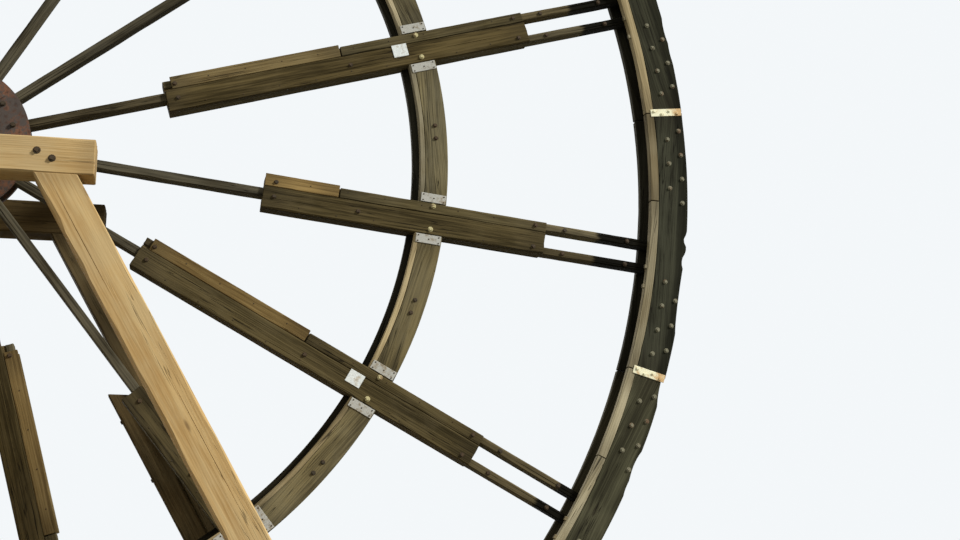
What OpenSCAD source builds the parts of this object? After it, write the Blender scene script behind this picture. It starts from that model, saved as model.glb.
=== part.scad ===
// Timber water wheel on its trestle, with the buckets gone.
// The wheel stands in the XZ plane and turns about an axle along Y. The viewer's side is -Y.
// The origin is on the ground under the middle of the axle, and lengths are in millimetres.

/* [Wheel] */
// Radius over the outer edge of the rim
rim_r = 8840; // [8600:10:9000]
// Gap between the rim and the ground timbers under it
rim_clear = 100; // [60:5:400]
// Number of spokes round the wheel
spoke_count = 16; // [12:2:18]
// Turn at rest of the first spoke above level, in degrees
rest_turn = 15.85; // [0:0.05:22.5]

/* [Rim] */
// Radial depth of the front felloes
felloe_d = 376; // [300:2:420]
// Radial depth of the pale lining strip inside the front felloes
lining_d = 104; // [80:2:150]
// Radial depth of the rear felloes, which reach further in
rear_felloe_d = 530; // [500:2:620]
// Thickness of the front and rear felloes along the axle
felloe_t = 100; // [70:2:130]
// Open joint between two felloes
felloe_joint = 8; // [4:1:20]
// Turn of the felloes' joints past half-way between two spokes, in degrees
joint_shift = 1.3; // [0:0.1:3]
// Length round the rim of the blocks behind the joints
block_l = 640; // [400:10:900]
// Radial depth of the blocks behind the joints
block_d = 340; // [250:2:400]
// Distance from the rim's outer edge to the blocks' outer face
block_inset = 60; // [40:2:90]
// Width of the iron straps over the joints
strap_w = 96; // [60:2:140]
// Thickness of the iron straps
strap_t = 10; // [6:1:16]
// Bare margin beside a strap's ends
strap_margin = 8; // [4:1:20]
// Length of the iron straps that runs on over the lining strip
strap_overlap = 40; // [10:2:80]

/* [Spokes] */
// Width of a whole spoke over its two side timbers, in the plane of the wheel
spoke_w = 390; // [360:2:440]
// Width of the middle timber, which runs from the hub in between the side timbers
middle_w = 105; // [90:1:120]
// Width of each side timber
side_w = 92; // [80:1:110]
// Thickness of the spoke timbers along the axle
beam_t = 180; // [140:2:220]
// Distance from the rim's outer edge to the outer ends of the side timbers
spoke_inset = 150; // [100:5:200]
// Thickness of the cheek boards on both faces of a spoke
cheek_t = 45; // [30:1:60]
// Width of the narrow cheek board on the upper side
narrow_w = 125; // [100:1:150]
// Open seam between two cheek boards
board_seam = 4; // [2:1:8]
// Radius where the side timbers and cheeks of the odd spokes start
odd_cheek_in = 3600; // [3400:10:3900]
// Radius where the side timbers and cheeks of the even spokes start
even_cheek_in = 2490; // [2300:10:2700]
// Radius where the cheeks end and the side timbers go on alone
cheek_out = 7060; // [6700:10:7400]
// Length by which the cheeks overlap the middle timber's outer end
middle_lap = 120; // [40:10:300]
// Length of the pale boards on the odd spokes
odd_pale_l = 900; // [600:10:1400]
// Length of the pale boards on the even spokes
even_pale_l = 2180; // [1500:10:2600]
// Distance that the pale boards stand out past the side timber
pale_proud = 28; // [10:1:40]
// Thickness of the packing boards between the middle and side timbers, along the axle
packing_t = 150; // [100:2:180]

/* [Inner ring] */
// Radius over the outer edge of the inner ring
ring_r = 5800; // [5700:10:5950]
// Radial depth of the front ring plates
ring_d = 280; // [240:2:320]
// Radial depth of the pale lining strip inside the front ring plates
ring_lining_d = 60; // [50:2:90]
// Radial depth of the rear ring plates, which reach further in
rear_ring_d = 410; // [400:2:480]
// Thickness of each ring plate along the axle
ring_t = 100; // [70:2:110]
// Thickness of the spacer blocks between the front and rear ring plates
ring_block_t = 60; // [40:2:70]
// Length round the ring of the spacer blocks
ring_block_l = 500; // [300:10:700]
// Radial depth of the spacer blocks
ring_block_d = 260; // [180:2:290]
// Width of the pale end plates on the ring, beside each spoke
ring_strap_w = 110; // [60:2:140]

/* [Hub and axle] */
// Radius of the axle
axle_r = 125; // [110:1:140]
// Length of the axle's full thickness beyond each bearing
axle_nose = 20; // [10:1:60]
// Radius of the turned stub at each end of the axle
stub_r = 110; // [90:1:120]
// Length of each stub
stub_l = 400; // [300:10:500]
// Radius of the hub barrel between the flanges
barrel_r = 330; // [320:2:380]
// Radius of the two hub flanges
flange_r = 900; // [800:10:1000]
// Thickness of the flange discs
flange_t = 60; // [40:1:90]
// Radius of the boss on each flange
boss_r = 250; // [220:2:300]
// Length of the boss beyond the flange
boss_l = 240; // [180:5:300]
// Sink of the ribs' roots into the boss
rib_root = 20; // [10:1:40]
// Number of stiffening ribs on each flange
rib_count = 8; // [4:1:12]
// Thickness of the ribs
rib_t = 50; // [30:1:70]
// Radius of the ribs' outer ends
rib_r = 800; // [700:10:820]
// Width of the turned collar on the axle inside each bearing
collar_l = 70; // [50:1:90]
// Radius of the turned collar
collar_r = 170; // [160:1:185]

/* [Bearings] */
// Distance from the wheel's middle plane to each frame's middle plane
frame_y = 1300; // [1200:10:1400]
// Length of a bearing's housing along the axle
bearing_l = 260; // [200:5:300]
// Radius of a bearing's round housing
bearing_r = 240; // [215:5:280]
// Width of a bearing's foot across the axle
foot_w = 900; // [760:10:1000]
// Thickness of a bearing's foot
foot_t = 80; // [60:2:100]
// Height of the axle's centre over the cap beam
bearing_h = 350; // [330:5:400]
// Width of the cap's flanges across the axle
cap_flange_w = 720; // [660:10:760]
// Thickness of the cap's flanges
cap_flange_t = 60; // [40:2:80]

/* [Trestle] */
// Side of the square timbers of legs and posts
timber = 400; // [360:5:430]
// Distance from the middle to the centre of a leg at its top
leg_top_x = 1310; // [1200:5:1450]
// Distance from the middle to the centre of a leg at its foot
leg_foot_x = 5820; // [5500:10:6000]
// Depth of the cap beam that carries the bearing
cap_beam_d = 400; // [340:5:450]
// Length of the cap beam
cap_beam_l = 3440; // [3300:10:3600]
// Height of the ground timbers
ground_h = 300; // [260:5:320]
// Width of the ground timbers
ground_w = 305; // [280:1:330]
// Length of the ground timbers under the frames
ground_l = 3500; // [3300:10:3800]
// Length of the middle ground timber, which carries the raking shores
ground_long_l = 9200; // [8800:10:9600]
// Distance from the middle to the inner ground timbers
ground_x = 2810; // [2500:10:3100]
// Depth of the frame sills
sill_h = 300; // [260:5:330]
// Overhang of the frame sills past the legs
sill_overhang = 310; // [200:5:500]
// Distance from the cap beams down to the middle of the collar planks
collar_drop = 4290; // [3600:10:4900]
// Depth of the collar planks
collar_plank_d = 300; // [240:5:340]
// Thickness of the collar planks
collar_plank_t = 120; // [80:2:150]
// Overhang of the collar planks past the legs
collar_overhang = 180; // [100:5:300]
// Side of the raking shores
shore_w = 250; // [200:5:290]
// Distance from the cap beams down to the heads of the shores
shore_drop = 890; // [500:10:1400]
// Distance from the end of the middle ground timber to the shore's heel
shore_heel = 250; // [200:5:400]

/* [Fits] */
// Radial gap between the axle and its bearings
running_gap = 0.3; // [0.1:0.05:0.6]
// Gap between round faces that seat on each other
seat_gap = 0.3; // [0.1:0.05:0.5]

/* [Hidden] */
$fn = 96;
step = 360 / spoke_count;
half_w = spoke_w / 2;
fork_w = spoke_w - 2 * side_w;
wide_board_w = spoke_w - narrow_w - board_seam;
middle_out = cheek_out - middle_lap;
rim_half_t = beam_t / 2 + felloe_t;
lining_r = rim_r - felloe_d - seat_gap;
axle_h = ground_h + rim_clear + rim_r;
spoke_out = rim_r - spoke_inset;
ring_lining_r = ring_r - ring_d - seat_gap;
ring_front_in = ring_lining_r - ring_lining_d;
ring_half_gap = ring_block_t / 2;
ring_face = ring_half_gap + ring_t;
axle_half = frame_y + bearing_l / 2 + axle_nose;
cap_top = axle_h - bearing_h;
cap_bottom = cap_top - cap_beam_d;
sill_top = ground_h + sill_h;
collar_plank_z = cap_bottom - collar_drop;
shore_top_z = cap_bottom - shore_drop;
leg_slope = (leg_foot_x - leg_top_x) / (cap_bottom - sill_top);
leg_level_w = timber * sqrt(1 + leg_slope * leg_slope);
sill_l = 2 * (leg_foot_x + leg_level_w / 2 + sill_overhang);
// Overrun of a cut past the faces that it opens
over = 1;
// Overrun of a saw cut past a hoop's edges
saw_over = 60;
timber_colour = [0.36, 0.32, 0.21];
pale_colour = [0.48, 0.45, 0.36];
leg_colour = [0.68, 0.58, 0.45];
iron_colour = [0.24, 0.21, 0.19];
strap_colour = [0.78, 0.76, 0.68];

// The wheel's own frame: x and y lie in its plane, z points to the viewer, and the axle is at the origin
module wheel_frame() {
    translate([0, 0, axle_h]) rotate([90, 0, 0]) children();
}

// A spoke's own frame: x runs outward along the middle timber, and y to its upper side on the right of the axle
module at_spoke(k) {
    rotate([0, 0, rest_turn + k * step]) children();
}

// The frame of the bay half-way to the next spoke
module at_bay(k) {
    rotate([0, 0, rest_turn + (k + 0.5) * step]) children();
}

// The frame of the felloe joint in a bay
module at_joint(k) {
    rotate([0, 0, joint_shift]) at_bay(k) children();
}

// A bar along x from one radius to another, between two sides and two faces
module bar(x0, x1, y0, y1, z0, z1) {
    translate([x0, y0, z0]) cube([x1 - x0, y1 - y0, z1 - z0]);
}

// A flat hoop between two radii and two faces
module hoop(r_in, r_out, z0, z1) {
    difference() {
        translate([0, 0, z0]) cylinder(h = z1 - z0, r = r_out, $fn = 180);
        translate([0, 0, z0 - over]) cylinder(h = z1 - z0 + 2 * over, r = r_in, $fn = 180);
    }
}

// A hoop of the rim, sawn into felloes at the joints
module felloes(r_in, r_out, z0, z1) {
    difference() {
        hoop(r_in, r_out, z0, z1);
        for (k = [0 : spoke_count - 1])
            at_joint(k)
                bar(r_in - saw_over, r_out + saw_over, -felloe_joint / 2, felloe_joint / 2, z0 - over, z1 + over);
    }
}

// A hoop of the inner ring, cut out where the spokes pass through
module ring_plates(r_in, r_out, z0, z1) {
    difference() {
        hoop(r_in, r_out, z0, z1);
        for (k = [0 : spoke_count - 1])
            at_spoke(k) bar(r_in - saw_over, r_out + saw_over, -half_w, half_w, z0 - over, z1 + over);
    }
}

function is_odd(k) = k % 2 == 1;
function cheek_in(k) = is_odd(k) ? odd_cheek_in : even_cheek_in;
function pale_out(k) = cheek_in(k) + (is_odd(k) ? odd_pale_l : even_pale_l);

// The middle timbers run out from the hub and end under the cheeks
module main_spokes() {
    color(timber_colour) wheel_frame()
        for (k = [0 : spoke_count - 1])
            at_spoke(k)
                bar(barrel_r + seat_gap, middle_out, -middle_w / 2, middle_w / 2, -beam_t / 2, beam_t / 2);
}

// The side timbers take over from the middle timber and run on to the rim with open space between them
module side_spokes() {
    color(timber_colour) wheel_frame()
        for (k = [0 : spoke_count - 1], y0 = [-half_w, half_w - side_w])
            at_spoke(k)
                bar(cheek_in(k), spoke_out, y0, y0 + side_w, -beam_t / 2, beam_t / 2);
}

// Cheek boards, a wide and a narrow one, lie flat over the timbers of each spoke on one face of the wheel
module cheeks(z0) {
    color(timber_colour) wheel_frame()
        for (k = [0 : spoke_count - 1])
            at_spoke(k) {
                bar(cheek_in(k), cheek_out, -half_w, -half_w + wide_board_w, z0, z0 + cheek_t);
                bar(pale_out(k) + board_seam, cheek_out, half_w - narrow_w, half_w, z0, z0 + cheek_t);
            }
}

// Pale boards take the narrow cheek boards' place at their inner ends, on both faces of the wheel
module pale_boards() {
    color(pale_colour) wheel_frame()
        for (k = [0 : spoke_count - 1], z0 = [beam_t / 2, -beam_t / 2 - cheek_t])
            at_spoke(k)
                bar(cheek_in(k), pale_out(k), half_w - narrow_w, half_w + pale_proud, z0, z0 + cheek_t);
}

// Packing boards fill the space between the middle timber and the side timbers
module packing_boards() {
    color(pale_colour) wheel_frame()
        for (k = [0 : spoke_count - 1], y0 = [middle_w / 2, -fork_w / 2])
            at_spoke(k)
                bar(cheek_in(k), middle_out, y0, y0 + (fork_w - middle_w) / 2, -packing_t / 2, packing_t / 2);
}

module ring_blocks() {
    color(timber_colour) wheel_frame()
        for (k = [0 : spoke_count - 1])
            at_bay(k)
                bar(ring_r - (ring_d + ring_block_d) / 2, ring_r - (ring_d - ring_block_d) / 2,
                    -ring_block_l / 2, ring_block_l / 2, -ring_block_t / 2, ring_block_t / 2);
}

// The pale plates over the ends of the ring segments, on both sides of each spoke
module ring_straps(z0) {
    near = half_w + strap_margin;
    color(strap_colour) wheel_frame()
        for (k = [0 : spoke_count - 1], y0 = [near, -near - ring_strap_w])
            at_spoke(k)
                bar(ring_front_in + 2 * strap_margin, ring_r - 2 * strap_margin,
                    y0, y0 + ring_strap_w, z0, z0 + strap_t);
}

module rim_blocks() {
    color(timber_colour) wheel_frame()
        for (k = [0 : spoke_count - 1])
            at_joint(k)
                bar(rim_r - block_inset - block_d, rim_r - block_inset, -block_l / 2, block_l / 2,
                    -beam_t / 2, beam_t / 2);
}

module rim_straps(z0) {
    color(strap_colour) wheel_frame()
        for (k = [0 : spoke_count - 1])
            at_joint(k)
                bar(lining_r - strap_overlap, rim_r - strap_margin, -strap_w / 2, strap_w / 2,
                    z0, z0 + strap_t);
}

module axle() {
    color(iron_colour) wheel_frame() {
        translate([0, 0, -axle_half]) cylinder(h = 2 * axle_half, r = axle_r);
        translate([0, 0, -axle_half - stub_l]) cylinder(h = 2 * (axle_half + stub_l), r = stub_r);
        for (side = [-1, 1])
            translate([0, 0, side * (frame_y - bearing_l / 2 - collar_l / 2 - seat_gap) - collar_l / 2])
                cylinder(h = collar_l, r = collar_r);
    }
}

module hub_barrel() {
    color(iron_colour) wheel_frame() hoop(axle_r, barrel_r, -beam_t / 2, beam_t / 2);
}

// A cast flange: disc, boss and tapering ribs, on the face of the wheel given by side
module hub_flange(side) {
    color(iron_colour) wheel_frame() mirror([0, 0, side < 0 ? 1 : 0])
        translate([0, 0, beam_t / 2]) difference() {
            union() {
                cylinder(h = flange_t, r = flange_r);
                cylinder(h = flange_t + boss_l, r = boss_r);
                for (i = [0 : rib_count - 1])
                    rotate([0, 0, i * 360 / rib_count]) translate([0, rib_t / 2, flange_t])
                        rotate([90, 0, 0]) linear_extrude(rib_t)
                            polygon([[boss_r - rib_root, 0], [rib_r, 0], [boss_r - rib_root, boss_l - rib_root]]);
            }
            translate([0, 0, -over]) cylinder(h = flange_t + boss_l + 2 * over, r = axle_r);
        }
}

// A ground timber across the two frames
module ground_timber(x, length) {
    color(timber_colour) translate([x - ground_w / 2, -length / 2, 0]) cube([ground_w, length, ground_h]);
}

module sill(side) {
    color(timber_colour) translate([-sill_l / 2, side * frame_y - timber / 2, ground_h])
        cube([sill_l, timber, sill_h]);
}

// A raking leg, cut level at its head under the cap beam and at its foot on the sill
module leg(side, hand) {
    color(leg_colour) translate([0, side * frame_y + timber / 2, 0]) rotate([90, 0, 0]) linear_extrude(timber)
        polygon([
            [hand * (leg_top_x - leg_level_w / 2), cap_bottom], [hand * (leg_top_x + leg_level_w / 2), cap_bottom],
            [hand * (leg_foot_x + leg_level_w / 2), sill_top], [hand * (leg_foot_x - leg_level_w / 2), sill_top]
        ]);
}

module post(side) {
    color(leg_colour) translate([-timber / 2, side * frame_y - timber / 2, sill_top])
        cube([timber, timber, cap_bottom - sill_top]);
}

module cap_beam(side) {
    color(leg_colour) translate([-cap_beam_l / 2, side * frame_y - timber / 2, cap_bottom])
        cube([cap_beam_l, timber, cap_beam_d]);
}

// The collar plank lies on the outer faces of the legs and the post
module collar_plank(side) {
    reach = leg_top_x + leg_slope * (cap_bottom - collar_plank_z) + leg_level_w / 2 + collar_overhang;
    outer = frame_y + timber / 2;
    y0 = side > 0 ? outer : -outer - collar_plank_t;
    color(leg_colour) translate([-reach, y0, collar_plank_z - collar_plank_d / 2])
        cube([2 * reach, collar_plank_t, collar_plank_d]);
}

// A raking shore from the post's outer face down to the middle ground timber
module shore(side) {
    post_face = frame_y + timber / 2;
    heel_y = ground_long_l / 2 - shore_heel;
    rise = shore_top_z - ground_h;
    run = heel_y - post_face;
    slant = sqrt(rise * rise + run * run);
    head_h = shore_w * slant / run;
    heel_l = shore_w * slant / rise;
    color(leg_colour) translate([-shore_w / 2, 0, 0]) rotate([90, 0, 90]) linear_extrude(shore_w)
        polygon([
            [side * post_face, shore_top_z], [side * post_face, shore_top_z - head_h],
            [side * (heel_y - heel_l), ground_h], [side * heel_y, ground_h]
        ]);
}

// The lower half of a bearing: foot, housing and the half bore under the axle
module bearing(side) {
    color(iron_colour) translate([0, side * frame_y + bearing_l / 2, axle_h]) rotate([90, 0, 0]) difference() {
        union() {
            translate([-foot_w / 2, -bearing_h, 0]) cube([foot_w, foot_t, bearing_l]);
            translate([-bearing_r, -bearing_h, 0]) cube([2 * bearing_r, bearing_h, bearing_l]);
            translate([-cap_flange_w / 2, -cap_flange_t, 0]) cube([cap_flange_w, cap_flange_t, bearing_l]);
        }
        translate([0, 0, -over]) cylinder(h = bearing_l + 2 * over, r = axle_r + running_gap);
    }
}

// The upper half of a bearing, a round cap with two bolting flanges
module bearing_cap(side) {
    color(iron_colour) translate([0, side * frame_y + bearing_l / 2, axle_h]) rotate([90, 0, 0]) difference() {
        union() {
            cylinder(h = bearing_l, r = bearing_r);
            translate([-cap_flange_w / 2, 0, 0]) cube([cap_flange_w, cap_flange_t, bearing_l]);
        }
        translate([0, 0, -over]) cylinder(h = bearing_l + 2 * over, r = axle_r + running_gap);
        translate([-foot_w, -2 * bearing_r, -over]) cube([2 * foot_w, 2 * bearing_r, bearing_l + 2 * over]);
    }
}

axle();
hub_barrel();
hub_flange(1);  // hub_flange_front
hub_flange(-1);  // hub_flange_rear
main_spokes();
side_spokes();
cheeks(beam_t / 2);  // cheeks_front
cheeks(-beam_t / 2 - cheek_t);  // cheeks_rear
packing_boards();
pale_boards();
color(timber_colour) wheel_frame() ring_plates(ring_r - ring_d, ring_r, ring_half_gap, ring_face);  // ring_front
color(pale_colour) wheel_frame() ring_plates(ring_front_in, ring_lining_r, ring_half_gap, ring_face);  // ring_lining
color(timber_colour) wheel_frame() ring_plates(ring_r - rear_ring_d, ring_r, -ring_face, -ring_half_gap);  // ring_rear
ring_blocks();
ring_straps(ring_face);  // ring_straps_front
ring_straps(-ring_face - strap_t);  // ring_straps_rear
color(timber_colour) wheel_frame() felloes(rim_r - felloe_d, rim_r, beam_t / 2, rim_half_t);  // rim_front
color(pale_colour) wheel_frame() felloes(lining_r - lining_d, lining_r, beam_t / 2, rim_half_t);  // rim_lining
color(timber_colour) wheel_frame() felloes(rim_r - rear_felloe_d, rim_r, -rim_half_t, -beam_t / 2);  // rim_rear
rim_blocks();
rim_straps(rim_half_t);  // rim_straps_front
rim_straps(-rim_half_t - strap_t);  // rim_straps_rear
ground_timber(0, ground_long_l);  // ground_middle
ground_timber(-ground_x, ground_l);  // ground_left_inner
ground_timber(ground_x, ground_l);  // ground_right_inner
ground_timber(-leg_foot_x, ground_l);  // ground_left_outer
ground_timber(leg_foot_x, ground_l);  // ground_right_outer
sill(-1);  // sill_front
sill(1);  // sill_rear
leg(-1, -1);  // leg_front_left
leg(-1, 1);  // leg_front_right
leg(1, -1);  // leg_rear_left
leg(1, 1);  // leg_rear_right
post(-1);  // post_front
post(1);  // post_rear
cap_beam(-1);  // cap_beam_front
cap_beam(1);  // cap_beam_rear
collar_plank(-1);  // collar_plank_front
collar_plank(1);  // collar_plank_rear
shore(-1);  // shore_front
shore(1);  // shore_rear
bearing(-1);  // bearing_front
bearing(1);  // bearing_rear
bearing_cap(-1);  // bearing_cap_front
bearing_cap(1);  // bearing_cap_rear
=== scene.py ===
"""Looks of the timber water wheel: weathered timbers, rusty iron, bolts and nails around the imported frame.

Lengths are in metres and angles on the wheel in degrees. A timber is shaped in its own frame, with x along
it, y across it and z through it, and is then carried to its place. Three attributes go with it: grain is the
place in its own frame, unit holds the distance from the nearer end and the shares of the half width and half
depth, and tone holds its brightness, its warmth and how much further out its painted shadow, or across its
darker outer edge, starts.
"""

import logging
import math
import random
from collections.abc import Sequence
from dataclasses import dataclass, field
from enum import Enum

import bmesh
import bpy
from mathutils import Matrix, Vector, noise


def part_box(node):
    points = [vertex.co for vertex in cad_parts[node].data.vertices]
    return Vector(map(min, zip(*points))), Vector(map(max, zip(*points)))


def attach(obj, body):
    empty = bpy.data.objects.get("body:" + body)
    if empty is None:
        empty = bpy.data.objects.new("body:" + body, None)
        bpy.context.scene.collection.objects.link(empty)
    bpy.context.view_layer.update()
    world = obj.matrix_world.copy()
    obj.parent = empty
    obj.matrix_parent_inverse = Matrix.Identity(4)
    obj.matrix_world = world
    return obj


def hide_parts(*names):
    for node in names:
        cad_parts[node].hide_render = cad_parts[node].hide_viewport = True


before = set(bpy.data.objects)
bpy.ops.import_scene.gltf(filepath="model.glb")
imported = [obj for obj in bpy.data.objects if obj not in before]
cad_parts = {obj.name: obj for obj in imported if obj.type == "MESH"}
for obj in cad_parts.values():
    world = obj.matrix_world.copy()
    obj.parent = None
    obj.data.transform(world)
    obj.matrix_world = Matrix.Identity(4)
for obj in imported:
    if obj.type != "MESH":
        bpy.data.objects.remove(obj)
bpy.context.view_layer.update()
LOG = logging.getLogger("water_wheel")

Shade = tuple[int, int, int]
Span = tuple[float, float]
Triple = tuple[float, float, float]
Colour = tuple[float, float, float, float]
Feed = object


@dataclass(frozen=True)
class Plan:
    """Where the wheel's and the trestle's parts lie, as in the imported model."""

    axle_height: float = 9.24
    spoke_count: int = 16
    rest_turn: float = 15.85
    joint_shift: float = 1.3
    half_beam: float = 0.09
    half_rim: float = 0.19
    rim_radius: float = 8.84
    ring_radius: float = 5.8
    spoke_half: float = 0.195
    hoop_depth: float = 0.1
    layer_gap: float = 0.0003
    frame_y: float = 1.3

    @property
    def step(self) -> float:
        """Gives the angle between two spokes."""
        return 360 / self.spoke_count

    def at(self, angle: float) -> Matrix:
        """Gives the frame with x outward, at an angle above level on the right, and z towards the viewer."""
        upright = Matrix.Translation((0, 0, self.axle_height)) @ Matrix.Rotation(math.pi / 2, 4, "X")
        return upright @ Matrix.Rotation(math.radians(angle), 4, "Z")

    def spoke(self, k: float, turn: float = 0.0) -> Matrix:
        """Gives the frame of spoke k, turned on by an angle. A half in k is the middle of a bay."""
        return self.at(self.rest_turn + k * self.step + turn)


PLAN = Plan()
CROSSWAYS = Matrix.Rotation(math.pi / 2, 4, "Z")
UP = Vector((0, 0, 1))
REARWARD = Vector((0, 1, 0))
# Near black: the painted shadow that the rim's felloes cast on the outer ends of the side timbers
PAINTED_SHADOW = (14, 14, 11)
CRACK = (20, 17, 13)
BEYOND_THE_WHEEL = 99.0


def linear(shade: Shade) -> Colour:
    """Turns a shade as seen, 0 to 255, into the linear colour of a shader.

    Args:
        shade: red, green and blue.

    Returns:
        The linear colour with an alpha of 1.
    """
    parts = [c / 255 for c in shade]
    red, green, blue = (c / 12.92 if c <= 0.04045 else ((c + 0.055) / 1.055) ** 2.4 for c in parts)
    return red, green, blue, 1.0


def both_ways(side: int, near: float, far: float) -> Span:
    """Gives the extent between two distances on the plus side, 1, or on the minus side, -1."""
    low, high = sorted((side * near, side * far))
    return low, high


class Graph:
    """The node tree of a material or of the world, with short calls for the nodes in use."""

    def __init__(self, owner: bpy.types.Material | bpy.types.World) -> None:
        """Switches on the nodes of a material or world."""
        owner.use_nodes = True
        self.owner, self.tree = owner, owner.node_tree

    @property
    def shader(self) -> bpy.types.Node:
        """Gives a material's own shader."""
        return self.tree.nodes["Principled BSDF"]

    def feed(self, socket: bpy.types.NodeSocket, value: Feed) -> None:
        """Links a socket to another one, or sets it to a plain value.

        Args:
            socket: the input.
            value: an output socket, a number or a colour.
        """
        if isinstance(value, bpy.types.NodeSocket):
            self.tree.links.new(value, socket)
        else:
            socket.default_value = value

    def add(self, kind: str, inputs: dict[int | str, Feed], **settings: object) -> bpy.types.Node:
        """Adds a node.

        Args:
            kind: the node's type.
            inputs: what goes into its sockets.
            settings: its properties.

        Returns:
            The node.
        """
        node = self.tree.nodes.new(kind)
        for key, value in settings.items():
            setattr(node, key, value)
        for key, value in inputs.items():
            self.feed(node.inputs[key], value)
        return node

    def attribute(self, name: str) -> Feed:
        """Reads a vector attribute of the piece."""
        return self.add("ShaderNodeAttribute", {}, attribute_name=name).outputs["Vector"]

    def place(self) -> Feed:
        """Reads the place on the object, in metres."""
        return self.add("ShaderNodeTexCoord", {}).outputs["Object"]

    def axle_distance(self) -> Feed:
        """Measures the distance from the axle's line.

        Returns:
            The distance, in metres.
        """
        inward = self.vector("SUBTRACT", self.place(), (0.0, 0.0, PLAN.axle_height))
        level = self.stretch(inward, (1.0, 0.0, 1.0))
        return self.add("ShaderNodeVectorMath", {0: level}, operation="LENGTH").outputs[1]

    def split(self, vector: Feed) -> tuple[Feed, ...]:
        """Takes a vector apart into x, y and z."""
        return tuple(self.add("ShaderNodeSeparateXYZ", {0: vector}).outputs)

    def vector(self, operation: str, a: Feed, b: Feed) -> Feed:
        """Does one sum with two vectors."""
        return self.add("ShaderNodeVectorMath", {0: a, 1: b}, operation=operation).outputs[0]

    def stretch(self, vector: Feed, factors: Triple) -> Feed:
        """Multiplies a vector part by part."""
        return self.vector("MULTIPLY", vector, factors)

    def dim(self, colour: Feed, factor: Feed) -> Feed:
        """Scales a colour."""
        return self.add("ShaderNodeVectorMath", {0: colour, 3: factor}, operation="SCALE").outputs[0]

    def math(self, operation: str, a: Feed, b: Feed = 0.0) -> Feed:
        """Does one sum with one or two numbers."""
        return self.add("ShaderNodeMath", {0: a, 1: b}, operation=operation).outputs[0]

    def plus(self, a: Feed, b: Feed) -> Feed:
        """Adds two numbers."""
        return self.math("ADD", a, b)

    def times(self, a: Feed, b: Feed) -> Feed:
        """Multiplies two numbers."""
        return self.math("MULTIPLY", a, b)

    def noise(self, vector: Feed, scale: float, detail: float, roughness: float = 0.5) -> Feed:
        """Makes cloudy noise, about 0 to 1, whose scale is in clouds to the metre."""
        inputs = {"Vector": vector, "Scale": scale, "Detail": detail, "Roughness": roughness}
        return self.add("ShaderNodeTexNoise", inputs).outputs[0]

    def drawn_out(self, grain: Feed, repeats: Span) -> Feed:
        """Scales the place in a timber by the repeats to the metre along its grain and across it."""
        return self.stretch(grain, (repeats[0], repeats[1], repeats[1]))

    def streaks(self, grain: Feed, repeats: Span, detail: float, roughness: float = 0.5) -> Feed:
        """Makes noise that is drawn out along the grain."""
        return self.noise(self.drawn_out(grain, repeats), 1.0, detail, roughness)

    def ease(self, value: Feed, low: float, high: float, to_low: float = 0.0, to_high: float = 1.0) -> Feed:
        """Maps the range from low to high smoothly onto the one from to_low to to_high."""
        inputs = {0: value, 1: low, 2: high, 3: to_low, 4: to_high}
        return self.add("ShaderNodeMapRange", inputs, interpolation_type="SMOOTHSTEP").outputs[0]

    def mix(self, share: Feed, a: Feed, b: Feed) -> Feed:
        """Mixes a share of the second colour into the first."""
        return self.add("ShaderNodeMix", {0: share, 6: a, 7: b}, data_type="RGBA").outputs[2]

    def close(self, colour: Feed, rough: Feed, gloss: float, height: Feed,
              relief: Span) -> bpy.types.Material:
        """Joins colour, roughness and relief to the shader.

        Args:
            colour: the surface colour.
            rough: the roughness.
            gloss: the specular level.
            height: the relief.
            relief: how deep a height of 1 is, and how strongly it shows.

        Returns:
            The finished material.
        """
        bump = self.add("ShaderNodeBump", {"Strength": relief[1], "Distance": relief[0], "Height": height})
        for socket, value in (("Base Color", colour), ("Roughness", rough), ("Specular IOR Level", gloss),
                              ("Normal", bump.outputs[0])):
            self.feed(self.shader.inputs[socket], value)
        return self.owner


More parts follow.
